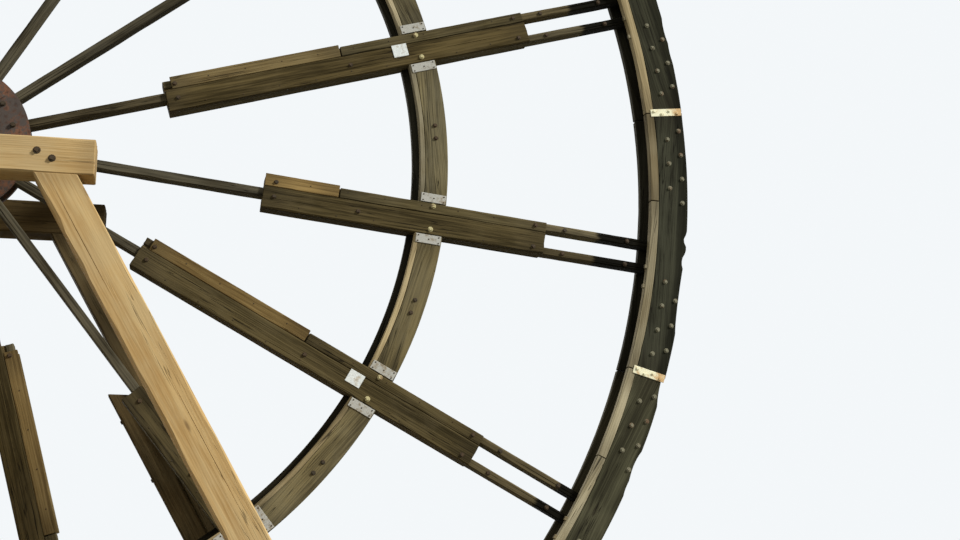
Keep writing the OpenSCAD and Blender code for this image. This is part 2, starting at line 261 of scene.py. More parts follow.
@dataclass(frozen=True)
class WoodFinish:
    """A weathered sawn timber surface. Each grain field is in repeats to the metre, along and across."""

    name: str
    light: Shade
    dark: Shade
    bleached: Shade
    bleach: float = 0.5
    contrast: float = 1.0
    end_shade: Shade = (46, 41, 31)
    slot: str = "dark_timber"
    roughness: float = 0.82
    gloss: float = 0.03
    cracked: float = 0.8
    painted_front_shade: float = 0.0
    outer_edge_darkening: float = 0.0
    stain: Span = (0.45, 0.34)
    painted_shadow_beyond: float = BEYOND_THE_WHEEL
    broad_grain: Span = (0.35, 6.0)
    fine_grain: Span = (1.5, 44.0)
    ring_grain: Span = (0.1, 1.0)
    knot_grain: Span = (1.1, 4.2)
    crack_grain: Span = (0.55, 20.0)
    crack_groups: Span = (0.5, 3.0)
    cool: Triple = (0.97, 1.0, 1.06)
    warmed: Triple = (1.05, 1.0, 0.92)
    relief: Span = (0.006, 0.55)

    def material(self) -> bpy.types.Material:
        """Builds the finish: streaks, growth lines, knots, cracks, bleached edges and end grain.

        Returns:
            The material.
        """
        g = Graph(bpy.data.materials.new(self.name))
        grain = g.attribute("grain")
        end_gap, across, through = g.split(g.attribute("unit"))
        bright, warm, dry_reach = g.split(g.attribute("tone"))

        # Sawn figure: broad and fine streaks and growth lines
        broad = g.streaks(grain, self.broad_grain, 2.0)
        fine = g.streaks(grain, self.fine_grain, 3.0, 0.62)
        rings = {"Vector": g.drawn_out(grain, self.ring_grain), "Scale": 17.0, "Distortion": 5.0,
                 "Detail": 2.0, "Detail Scale": 1.4, "Detail Roughness": 0.55}
        lines = g.add("ShaderNodeTexWave", rings, wave_type="RINGS", rings_direction="X").outputs["Fac"]
        finer = g.plus(g.times(g.ease(fine, 0.28, 0.72), 0.38), g.times(lines, 0.17))
        figure = g.plus(g.times(g.ease(broad, 0.30, 0.70), 0.45), finer)
        half = 0.5 / self.contrast
        colour = g.mix(g.ease(figure, 0.5 - half, 0.5 + half), linear(self.dark), linear(self.light))

        # Weather: bleached clouds and worn edges, then the timber's own brightness and warmth
        clouds = g.noise(g.place(), 1.1, 4.0, 0.6)
        weather = g.plus(g.plus(g.times(clouds, 0.7), g.times(fine, 0.3)), g.times(warm, -0.06))
        faded = g.ease(weather, 0.42, 0.62, 0.0, self.bleach)
        edge = g.math("MINIMUM", g.math("ABSOLUTE", across), g.math("ABSOLUTE", through))
        worn = g.times(g.ease(edge, 0.88, 1.0), g.ease(fine, 0.35, 0.6, 0.1, 0.55))
        colour = g.mix(g.math("MAXIMUM", faded, worn), colour, linear(self.bleached))
        colour = g.dim(colour, g.plus(1.0, g.times(bright, 0.24)))
        colour = g.mix(g.ease(warm, -1.0, 1.0), g.stretch(colour, self.cool), g.stretch(colour, self.warmed))

        # Knots in some cells of the figure, and fine cracks in groups
        knot = g.add("ShaderNodeTexVoronoi", {"Vector": g.drawn_out(grain, self.knot_grain), "Scale": 1.0})
        chosen = g.ease(g.split(knot.outputs["Color"])[0], 0.66, 0.70)
        eye = g.times(g.ease(knot.outputs["Distance"], 0.06, 0.13, 1.0, 0.0), chosen)
        colour = g.mix(g.times(eye, 0.7), colour, linear(self.end_shade))
        torn = g.streaks(grain, self.crack_grain, 2.0, 0.55)
        group = g.ease(g.streaks(grain, self.crack_groups, 1.0), 0.46, 0.56)
        crack = g.ease(g.math("ABSOLUTE", g.math("SUBTRACT", torn, 0.5)), 0.004, 0.016, 1.0, 0.0)
        crack = g.times(crack, group)
        colour = g.mix(g.times(crack, self.cracked), colour, linear(CRACK))

        # End grain and the stain beside it, and a near-black painted shadow of the rim on the outer part
        butt = g.ease(end_gap, 0.002, 0.006, 1.0, 0.0)
        reach, depth = self.stain
        ragged = g.times(g.math("SUBTRACT", fine, 0.5), 0.12)
        stained = g.ease(g.plus(end_gap, ragged), reach * 0.1, reach, depth, 0.0)
        colour = g.mix(g.math("MAXIMUM", g.times(butt, 0.75), stained), colour, linear(self.end_shade))
        radius = g.plus(g.math("SUBTRACT", g.axle_distance(), dry_reach), g.times(ragged, 1.5))
        painted_shadow = g.ease(radius, self.painted_shadow_beyond, self.painted_shadow_beyond + 0.07, 0.0, 0.96)
        colour = g.mix(painted_shadow, colour, linear(PAINTED_SHADOW))

        # Painted shade on the front faces of the rear felloes, plates and blocks, and a darker outer edge
        shaded_front = g.ease(through, 0.5, 0.95, 1.0, 1.0 - self.painted_front_shade)
        outer_darkening = g.plus(g.math("SUBTRACT", across, dry_reach), g.times(g.math("SUBTRACT", broad, 0.5), 1.3))
        outer_darkening = g.ease(g.plus(outer_darkening, g.times(fine, 0.2)), 0.36, 0.66, 1.0, 1.0 - self.outer_edge_darkening)
        colour = g.dim(colour, g.times(shaded_front, outer_darkening))

        rough = g.ease(fine, 0.3, 0.7, self.roughness - 0.06, self.roughness + 0.1)
        raised = g.plus(g.times(fine, 0.6), g.times(lines, 0.25))
        height = g.math("SUBTRACT", raised, g.plus(crack, g.times(eye, 0.2)))
        return g.close(colour, rough, self.gloss, height, self.relief)


@dataclass(frozen=True)
class IronFinish:
    """Rusty iron, or iron under the remains of pale paint. The rates are in spots to the metre."""

    name: str
    skin: Shade
    rust: Shade
    scale: Shade
    rusted: float = 0.5
    roughness: float = 0.62
    gloss: float = 0.25
    slot: str = "strap_iron"
    rust_beyond: float = BEYOND_THE_WHEEL
    cloud_rate: float = 3.1
    blotch_rate: float = 19.0
    pit_rate: float = 130.0
    relief: Span = (0.003, 0.5)

    def material(self) -> bpy.types.Material:
        """Builds the finish: clouds of rust, dark scale, pits and a cast or painted skin.

        Returns:
            The material.
        """
        g = Graph(bpy.data.materials.new(self.name))
        spot = g.place()
        clouds = g.noise(spot, self.cloud_rate, 4.0, 0.62)
        blotches = g.noise(spot, self.blotch_rate, 4.0, 0.6)
        pits = g.noise(spot, self.pit_rate, 2.0, 0.6)
        outward = g.ease(g.axle_distance(), self.rust_beyond - 0.06, self.rust_beyond + 0.06, 0.0, 0.17)
        level = g.plus(g.plus(g.times(clouds, 0.5), g.times(blotches, 0.5)), outward)
        edge = 0.5 + 0.2 * (0.5 - self.rusted)
        colour = g.mix(g.ease(level, edge - 0.07, edge + 0.07), linear(self.skin), linear(self.rust))
        colour = g.mix(g.ease(blotches, 0.52, 0.66, 0.0, 0.6), colour, linear(self.scale))
        colour = g.dim(colour, g.ease(pits, 0.3, 0.7, 0.85, 1.12))
        rough = g.ease(blotches, 0.35, 0.65, self.roughness - 0.08, self.roughness + 0.16)
        return g.close(colour, rough, self.gloss, g.plus(g.times(pits, 0.5), blotches), self.relief)


class Wood(Enum):
    """The timber finishes."""

    SPOKE = WoodFinish("spoke_timber", (97, 85, 55), (51, 44, 26), (112, 101, 74), 0.3, 1.2)
    # Beyond 7.66 m from the axle the side timbers carry a near-black painted shadow of the rim
    SIDE = WoodFinish("spoke_side_timber", (108, 98, 72), (66, 59, 42), (120, 110, 84), 0.3, 1.1,
                      painted_shadow_beyond=7.66)
    SPOKE_DARK = WoodFinish("spoke_timber_dark", (92, 84, 64), (44, 39, 28), (104, 98, 80), 0.3, 1.2)
    PALE_BOARD = WoodFinish("pale_board", (146, 124, 80), (100, 82, 50), (144, 128, 90), 0.4, 1.1,
                            slot="pale_timber")
    RIM = WoodFinish("rim_timber", (68, 68, 53), (37, 36, 27), (84, 83, 66), 0.4, 1.1, outer_edge_darkening=0.55)
    # The rear timbers' front faces get painted shade, for the shade that the front felloes and plates cast
    RIM_REAR = WoodFinish("rim_timber_rear", (74, 70, 54), (36, 34, 25), (90, 86, 70), 0.3, 1.2, painted_front_shade=0.5)
    LINING = WoodFinish("lining_timber", (166, 151, 116), (116, 104, 76), (174, 164, 134), 0.4, 1.0,
                        slot="pale_timber")
    RING = WoodFinish("ring_timber", (134, 120, 82), (72, 65, 46), (126, 119, 94), 0.35, 1.1)
    TRESTLE = WoodFinish("trestle_timber", (208, 177, 122), (172, 138, 87), (192, 172, 130), 0.4, 0.9,
                         (112, 88, 58), "trestle_timber", cracked=0.5, stain=(0.3, 0.3))
    # The rear frame's timber is the trestle timber darkened: painted shade, for the wheel's shade over the
    # rear frame
    TRESTLE_REAR_SHADED = WoodFinish("trestle_timber_rear_shaded", (106, 90, 60), (68, 57, 37), (108, 98, 73), 0.4, 0.9,
                              (60, 50, 34), "trestle_timber", cracked=0.5, stain=(0.3, 0.3))
    GROUND = WoodFinish("ground_timber", (104, 92, 68), (50, 43, 31), (122, 114, 94), 0.35, 1.2,
                        slot="ground_timber")


class Iron(Enum):
    """The iron finishes."""

    CAST = IronFinish("cast_iron_rusty", (62, 52, 44), (104, 66, 42), (34, 29, 26), slot="cast_iron")
    STRAP = IronFinish("strap_pale", (248, 243, 206), (212, 176, 122), (208, 182, 138), 0.05, 0.6,
                       rust_beyond=8.72)
    PLATE = IronFinish("plate_pale", (180, 178, 167), (158, 145, 120), (136, 126, 108), 0.1, 0.7)
    PATCH = IronFinish("patch_pale", (226, 230, 224), (196, 184, 160), (190, 184, 168), 0.0, 0.7)
    BOLT_PALE = IronFinish("bolt_pale", (196, 186, 138), (158, 128, 92), (124, 110, 80), 0.2, 0.6)
    BOLT_DULL = IronFinish("bolt_dull", (128, 124, 100), (118, 92, 66), (88, 78, 58), 0.2, 0.6)
    BOLT_RUSTY = IronFinish("bolt_rusty", (56, 48, 33), (74, 57, 36), (33, 29, 21), slot="cast_iron")


MATERIALS = {entry: entry.value.material() for group in (Wood, Iron) for entry in group}


@dataclass(frozen=True)
class Check:
    """A drying crack along one face of a timber, from start to end as shares of its half length."""

    across: float
    start: float
    end: float
    face: int = 1
    depth: float = 0.014
    width: float = 0.008


def cracks(rng: random.Random, spread: float, starts: Sequence[float], reach: Span,
           faces: Sequence[int] = (1,), **sizes: float) -> list[Check]:
    """Draws the cracks of one timber, one on each face at each start.

    Args:
        rng: where the random numbers come from.
        spread: how far a crack may lie from the middle of the face.
        starts: where the cracks start.
        reach: the least and the greatest length.
        faces: the faces, 1 or -1, at each start.
        sizes: the cracks' depth and width.

    Returns:
        The cracks.
    """
    return [Check(rng.uniform(-spread, spread), start, start + rng.uniform(*reach), face, **sizes)
            for start in starts for face in faces]


@dataclass(frozen=True)
class Arc:
    """How a straight bar is bent: its middle radius, half its angle in radians and half its end joint."""

    radius: float
    half_angle: float
    half_gap: float

    def length(self) -> float:
        """Gives the bar's length at the middle radius."""
        return 2 * (self.radius * self.half_angle - self.half_gap)

    def bent(self, along: float, across: float, through: float) -> Vector:
        """Carries a place on the straight bar onto the wheel, with x outward through the bar's middle.

        Args:
            along: the place along the bar, from its middle.
            across: the place across it, outward.
            through: the place through it.

        Returns:
            The place on the wheel.
        """
        radius = self.radius + across
        reach = self.half_angle - math.asin(self.half_gap / radius)
        angle = -2 * along / self.length() * reach
        return Vector((radius * math.cos(angle), radius * math.sin(angle), through))


@dataclass(frozen=True)
class Bite:
    """A place where a timber's upper edge is rotted away: its middle, its half length and its depth."""

    middle: float
    reach: float
    depth: float

    def at(self, along: float) -> float:
        """Gives the depth at a place along the timber."""
        share = abs(along - self.middle) / self.reach
        return self.depth * (1 - share ** 2) ** 0.8 if share < 1 else 0.0


@dataclass
class Timber:
    """One sawn timber, or one forged plate, in its own frame."""

    length: float
    width: float
    depth: float
    seed: int
    chamfer: float = 0.007
    cuts: int = 14
    bow: float = 0.002
    wear: float = 0.006
    ragged: float = 0.005
    shade: float | None = None
    warmth: float | None = None
    checks: Sequence[Check] = ()
    arc: Arc | None = None
    end_slopes: Span = (0.0, 0.0)
    bites: Sequence[Bite] = ()
    dry_reach: float = 0.0
    log_offset: tuple[Span, Span, Span] = ((0, 90), (-0.22, 0.22), (0.04, 0.26))
    slack: float = 1e-5

    def shaped(self) -> bmesh.types.BMesh:
        """Shapes the timber: a bevelled bar with cracks, worn edges and rough ends.

        Returns:
            The shape, with its attributes, still in the timber's own frame.
        """
        shape = bmesh.new()
        bmesh.ops.create_cube(shape, size=1.0)
        bmesh.ops.scale(shape, vec=(self.length, self.width, self.depth), verts=shape.verts)
        bmesh.ops.bevel(shape, geom=shape.edges[:], offset=self.chamfer, offset_type="OFFSET", segments=1,
                        profile=0.5, affect="EDGES", material=-1, clamp_overlap=True)
        sides = [e for e in shape.edges if abs(e.verts[0].co.x - e.verts[1].co.x) > self.length / 2]
        bmesh.ops.subdivide_edges(shape, edges=sides, cuts=self.cuts, use_grid_fill=True)
        for check in self.checks:
            self.split_open(shape, check)
        rng = random.Random(self.seed)
        offset = Vector([rng.uniform(*span) for span in self.log_offset])
        shade = rng.uniform(-1, 1) if self.shade is None else self.shade
        warmth = rng.uniform(-1, 1) if self.warmth is None else self.warmth
        self.roughen(shape)
        self.mark(shape, offset, Vector((shade, warmth, self.dry_reach)))
        return shape

    def split_open(self, shape: bmesh.types.BMesh, check: Check) -> None:
        """Opens one crack as a groove that dies out at both ends.

        Args:
            shape: the timber's shape.
            check: the crack.
        """
        for shift in (-check.width / 2, 0.0, check.width / 2):
            geom = shape.verts[:] + shape.edges[:] + shape.faces[:]
            bmesh.ops.bisect_plane(shape, geom=geom, dist=1e-6, plane_co=(0, check.across + shift, 0),
                                   plane_no=(0, 1, 0))
        half = self.length / 2
        middle, reach = (check.start + check.end) / 2 * half, (check.end - check.start) / 2 * half
        for v in shape.verts:
            on_face = abs(v.co.z - check.face * self.depth / 2) < self.slack
            if on_face and abs(v.co.y - check.across) < self.slack and abs(v.co.x - middle) < reach:
                fade = 1 - ((v.co.x - middle) / reach) ** 2
                v.co.z -= check.face * check.depth * fade

    def roughen(self, shape: bmesh.types.BMesh) -> None:
        """Wears the edges and ends by slow and quick noise along the bar, and bends it a little.

        Args:
            shape: the timber's shape.
        """
        half_x, half_y, half_z = self.length / 2, self.width / 2, self.depth / 2
        bevel = self.chamfer * 1.01
        seed = self.seed * 7.31
        for v in shape.verts:
            x, y, z = v.co
            side_y, side_z = math.copysign(1, y), math.copysign(1, z)
            corner = seed + side_y * 3.7 + side_z * 11.9
            slow = noise.noise(Vector((x * 2.7, corner, 0.5)))
            quick = noise.noise(Vector((x * 11.0, corner, 2.5)))
            lost = self.wear * max(0.0, slow * 1.6 + 0.25)
            lost += self.wear * max(0.0, quick - 0.1)
            near_y, near_z = half_y - abs(y), half_z - abs(z)
            if y > 0 and near_y < bevel:
                v.co.y -= sum(bite.at(x) for bite in self.bites)
            if near_y < self.slack and near_z < bevel:
                v.co.z -= side_z * lost
            elif near_z < self.slack and near_y < bevel:
                v.co.y -= side_y * lost
            if half_x - abs(x) < bevel:
                torn = abs(noise.noise(Vector((y * 17, z * 17, seed))))
                v.co.x -= math.copysign(1, x) * self.ragged * torn * 2
            v.co.y += self.bow * noise.noise(Vector((x * 0.5, seed, 9.1)))
            v.co.z += self.bow * noise.noise(Vector((x * 0.5, seed, 4.3)))

    def mark(self, shape: bmesh.types.BMesh, offset: Vector, tone: Vector) -> None:
        """Stores the attributes, cuts the ends to their slope and bends an arc round the wheel.

        Args:
            shape: the timber's shape.
            offset: where the timber lay in its log.
            tone: its brightness, its warmth and how far its painted shadow, or its darker outer edge, is
                moved out.
        """
        grain, unit, own = (shape.verts.layers.float_vector.new(name) for name in Batch.LAYERS)
        for v in shape.verts:
            x, y, z = v.co
            v[unit] = Vector((self.length / 2 - abs(x), 2 * y / self.width, 2 * z / self.depth))
            v[own] = tone
            lean = 0.5 - x / self.length
            v.co.x += y * (self.end_slopes[0] * lean + self.end_slopes[1] * (1 - lean))
            v[grain] = v.co + offset
            if self.arc:
                v.co = self.arc.bent(x, y, z)
                v[grain] = Vector((v.co.y, v.co.x - self.arc.radius, z)) + offset


class Batch:
    """Shapes that become one object of the scene."""

    LAYERS = ("grain", "unit", "tone")

    def __init__(self, name: str, body: str = "wheel") -> None:
        """Starts an empty batch.

        Args:
            name: the object's name.
            body: the body that it rides on.
        """
        self.name = name
        self.body = body
        self.whole = bmesh.new()
        for layer in self.LAYERS:
            self.whole.verts.layers.float_vector.new(layer)

    def add(self, shape: bmesh.types.BMesh, place: Matrix) -> None:
        """Adds a shape at its place.

        Args:
            shape: the shape, which is used up.
            place: where it goes.
        """
        bmesh.ops.transform(shape, matrix=place, verts=shape.verts)
        mesh = bpy.data.meshes.new("part")
        shape.to_mesh(mesh)
        shape.free()
        self.whole.from_mesh(mesh)
        bpy.data.meshes.remove(mesh)

    def bar(self, place: Matrix, x: Span, y: Span, z: Span, seed: int, **details: object) -> None:
        """Adds a straight timber that fills a box in a frame, with its grain along x."""
        timber = Timber(x[1] - x[0], y[1] - y[0], z[1] - z[0], seed, **details)
        self.add(timber.shaped(), place @ Matrix.Translation((sum(x) / 2, sum(y) / 2, sum(z) / 2)))

    def arc(self, centre: Matrix, arc: Arc, width: float, z: float, seed: int, **details: object) -> None:
        """Adds a timber that is bent round the wheel, with x outward through its middle."""
        timber = Timber(arc.length(), width, PLAN.hoop_depth, seed, bow=0.0, arc=arc, **details)
        self.add(timber.shaped(), centre @ Matrix.Translation((0, 0, z)))

    def finish(self, finish: Wood | Iron, *nodes: str, smooth: float = 0.0) -> None:
        """Makes the object.

        Args:
            finish: its finish.
            nodes: the nodes that it stands for.
            smooth: the angle under which an edge is shaded smooth.
        """
        mesh = bpy.data.meshes.new(self.name)
        self.whole.to_mesh(mesh)
        self.whole.free()
        if smooth:
            mesh.polygons.foreach_set("use_smooth", [True] * len(mesh.polygons))
            mesh.set_sharp_from_angle(angle=math.radians(smooth))
        mesh.materials.append(MATERIALS[finish])
        piece = bpy.data.objects.new(self.name, mesh)
        bpy.context.scene.collection.objects.link(piece)
        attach(piece, self.body)
        if nodes:
            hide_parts(*nodes)
        LOG.info("%s: %d faces on %s", self.name, len(mesh.polygons), self.body)


class Head(Enum):
    """Heads and washers: how many sides, and the radii at foot and top as shares of the size."""

    SQUARE = (4, 0.707, 0.62)
    HEX = (6, 0.577, 0.53)
    NAIL = (8, 0.5, 0.3)
    WASHER = (10, 0.5, 0.46)


@dataclass(frozen=True)
class Fastener:
    """A bolt head or nut on its washer, or a nail's head."""

    head: Head
    size: float
    height: float
    washer: float = 0.0
    washer_t: float = 0.005
    let_in: float = 0.001

    def shaped(self) -> bmesh.types.BMesh:
        """Shapes the fastener on the XY plane, pointing up.

        Returns:
            The shape.
        """
        shape = bmesh.new()
        seat = self.washer_t if self.washer else 0.0
        layers = [(Head.WASHER, self.washer, self.washer_t, 0.0),
                  (self.head, self.size, self.height, seat - self.let_in)]
        for head, size, height, base in layers if self.washer else layers[1:]:
            sides, foot, top = head.value
            made = bmesh.ops.create_cone(shape, cap_ends=True, segments=sides, radius1=size * foot,
                                         radius2=size * top, depth=height)
            bmesh.ops.translate(shape, vec=(0, 0, base + height / 2), verts=made["verts"])
        return shape


@dataclass
class Fixings:
    """Fasteners of one kind, set at many places."""

    name: str
    fastener: Fastener
    body: str = "wheel"
    twist: float = 1.9
    places: list[Matrix] = field(default_factory=list)

    def set_at(self, frame_at: Matrix, x: float = 0, y: float = 0, z: float = 0) -> None:
        """Sets one fastener in a frame, pointing along its z, or against it where z is less than 0.

        Args:
            frame_at: the frame.
            x: the place in the frame.
            y: the place in the frame.
            z: the place in the frame.
        """
        turn = Matrix.Rotation(self.twist * len(self.places), 4, "Z")
        flip = Matrix.Rotation(math.pi, 4, "X") if z < 0 else Matrix.Identity(4)
        self.places.append(frame_at @ Matrix.Translation((x, y, z)) @ flip @ turn)

    def finish(self, iron: Iron) -> None:
        """Makes the fasteners' object.

        Args:
            iron: their finish.
        """
        batch = Batch(self.name, self.body)
        for place in self.places:
            batch.add(self.fastener.shaped(), place)
        batch.finish(iron)


FORGED = {"chamfer": 0.0025, "bow": 0.0, "wear": 0.001, "ragged": 0.003}
BOARD = {"chamfer": 0.005, "wear": 0.007, "ragged": 0.012}


def spacer_blocks(name: str, node: str, size: Triple, radius: float, turn: float, seed: int,
                  cuts: int) -> None:
    """Builds a ring of blocks, one in each bay, with their grain round the wheel.

    Args:
        name: the piece's name.
        node: the node that it stands for.
        size: a block's length, radial width and depth.
        radius: where the blocks' middles lie.
        turn: how far they lie past the middle of the bay.
        seed: the number of the first block.
        cuts: how finely their edges are worn.
    """
    batch = Batch(name)
    for k in range(PLAN.spoke_count):
        centre = PLAN.spoke(k + 0.5, turn) @ Matrix.Translation((radius, 0, 0)) @ CROSSWAYS
        batch.add(Timber(*size, seed + k, cuts=cuts, bow=0.0).shaped(), centre)
    batch.finish(Wood.RIM_REAR, node)


@dataclass
class Rim:
    """The rim: front and rear felloes, the lining, the blocks, the straps and the bolts.

    The felloe fields with four values hold what the four felloes of the lower right quarter have, which is
    repeated round the wheel, and bitten and corner_bitten say which of the four they are. Each bite is its
    middle along the felloe, its half length and its depth.
    """

    felloe: float = 0.376
    lining: float = 0.104
    rear_felloe: float = 0.53
    half_joint: float = 0.004
    shades: tuple[float, ...] = (-0.3, 0.4, 2.1, -0.4)
    warmths: tuple[float, ...] = (0.0, 0.5, 1.0, -0.3)
    dry_reaches: tuple[float, ...] = (0.0, 0.1, 0.45, 0.0)
    stray_bite: tuple[Span, Span, Span] = ((-1.5, 1.5), (0.06, 0.2), (0.008, 0.03))
    stray_bites: int = 3
    bites: tuple[Triple, ...] = ((-0.06, 0.07, 0.035), (0.2, 0.1, 0.03), (0.62, 0.5, 0.035))
    bitten: int = 3
    corner_bite: Triple = (-1.7, 0.33, 0.04)
    corner_bitten: int = 2
    seam: float = 4.75
    lining_shades: tuple[float, ...] = (0.8, 1.3, -0.8, -1.4)
    peg_turns: Span = (-1.1, -2.8)
    peg: tuple[Span, Span, Span] = ((-0.035, 0.02), (-0.025, 0.025), (0.005, 0.045))
    block: Triple = (0.64, 0.34, 0.18)
    block_inset: float = 0.06
    strap: Triple = (0.4078, 0.096, 0.01)
    strap_inner: float = 8.4237
    strap_bolts: tuple[Span, ...] = ((0.05, 0.018), (0.15, -0.018), (0.25, 0.018), (0.35, -0.018))
    inner_row: tuple[float, ...] = (-8.24, -6.2, -4.15, -2.1, 5.95, 8.1, 10.2)
    outer_row: tuple[float, ...] = (-7.68, -5.6, -3.5, 4.75, 6.8, 8.85, 10.93)
    row_radii: Span = (8.61, 8.77)

    @property
    def middle(self) -> float:
        """Gives the middle of the front hoop's depth."""
        return PLAN.half_beam + PLAN.hoop_depth / 2

    def build(self) -> None:
        """Builds the whole rim."""
        self.hoop("rim_front", self.felloe, self.middle, Wood.RIM, 100)
        self.lining_boards()
        self.edge_pegs()
        self.hoop("rim_rear", self.rear_felloe, -self.middle, Wood.RIM_REAR, 140)
        radius = PLAN.rim_radius - self.block_inset - self.block[1] / 2
        spacer_blocks("rim_joint_blocks", "rim_blocks", self.block, radius, PLAN.joint_shift, 160, 5)
        self.straps()
        self.bolts()

    def hoop(self, node: str, width: float, z: float, wood: Wood, seed: int) -> None:
        """Builds one hoop of felloes.

        Args:
            node: the node that it stands for.
            width: its radial width.
            z: the middle of its depth.
            wood: its finish.
            seed: the number of its first timber.
        """
        batch = Batch(node + "_felloes")
        arc = Arc(PLAN.rim_radius - width / 2, math.radians(PLAN.step / 2), self.half_joint)
        rng = random.Random(seed)
        for k in range(PLAN.spoke_count):
            n = k % 4
            rows = [[rng.uniform(*span) for span in self.stray_bite] for _ in range(self.stray_bites)]
            if n == self.bitten:
                rows = self.bites
            if n == self.corner_bitten:
                rows.append(self.corner_bite)
            batch.arc(PLAN.spoke(k, PLAN.joint_shift), arc, width, z, seed + k, cuts=70, chamfer=0.006,
                      wear=0.007, shade=self.shades[n], warmth=self.warmths[n],
                      dry_reach=self.dry_reaches[n], bites=[Bite(*row) for row in rows])
        batch.finish(wood, node)

    def lining_boards(self) -> None:
        """Builds the lining, two boards to each felloe."""
        batch = Batch("rim_lining_boards")
        middle_radius = PLAN.rim_radius - self.felloe - PLAN.layer_gap - self.lining / 2
        first, last = PLAN.joint_shift - PLAN.step / 2, PLAN.joint_shift + PLAN.step / 2
        for k in range(PLAN.spoke_count):
            for n, (low, high) in enumerate(((first, self.seam), (self.seam, last))):
                number = 2 * k + n
                arc = Arc(middle_radius, math.radians(high - low) / 2, self.half_joint / (1 + n))
                batch.arc(PLAN.spoke(k, (low + high) / 2), arc, self.lining, self.middle, 120 + number,
                          cuts=30, shade=self.lining_shades[number % 4], chamfer=0.005)
        batch.finish(Wood.LINING, "rim_lining")

    def edge_pegs(self) -> None:
        """Drives two pale pegs into the lining's inner edge beside each spoke."""
        batch = Batch("rim_edge_pegs")
        inner = PLAN.rim_radius - self.felloe - self.lining
        centre = (inner, 0.0, self.middle)
        x, y, z = ((middle + low, middle + high) for middle, (low, high) in zip(centre, self.peg))
        for k in range(PLAN.spoke_count):
            for n, turn in enumerate(self.peg_turns):
                batch.bar(PLAN.spoke(k, turn), x, y, z, 1000 + 2 * k + n, chamfer=0.006, cuts=1, bow=0.0,
                          wear=0.002)
        batch.finish(Wood.LINING)

    def straps(self) -> None:
        """Builds the pale iron straps over the joints on both faces, and their bolts."""
        length, width, depth = self.strap
        outside = PLAN.half_rim + depth
        heads = Fixings("rim_strap_bolts", Fastener(Head.SQUARE, 0.03, 0.016))
        for side, node in ((1, "rim_straps_front"), (-1, "rim_straps_rear")):
            batch = Batch(node + "_forged")
            for k in range(PLAN.spoke_count):
                joint = PLAN.spoke(k + 0.5, PLAN.joint_shift)
                batch.bar(joint, (self.strap_inner, self.strap_inner + length), (-width / 2, width / 2),
                          both_ways(side, PLAN.half_rim, outside), 180 + k, cuts=6, **FORGED)
                for reach, y in self.strap_bolts:
                    heads.set_at(joint, self.strap_inner + reach, y, side * outside)
            batch.finish(Iron.STRAP, node)
        heads.finish(Iron.STRAP)

    def bolts(self) -> None:
        """Sets the two staggered rows of bolts through the felloes, heads in front and nuts behind."""
        front = Fixings("rim_bolts_front", Fastener(Head.SQUARE, 0.034, 0.02, 0.062))
        rear = Fixings("rim_bolts_rear", Fastener(Head.HEX, 0.04, 0.024, 0.06))
        for k in range(PLAN.spoke_count):
            for radius, row in zip(self.row_radii, (self.inner_row, self.outer_row)):
                for turn in row:
                    spot = PLAN.spoke(k + turn / PLAN.step)
                    front.set_at(spot, radius, 0, PLAN.half_rim)
                    rear.set_at(spot, radius, 0, -PLAN.half_rim)
        front.finish(Iron.BOLT_DULL)
        rear.finish(Iron.BOLT_RUSTY)


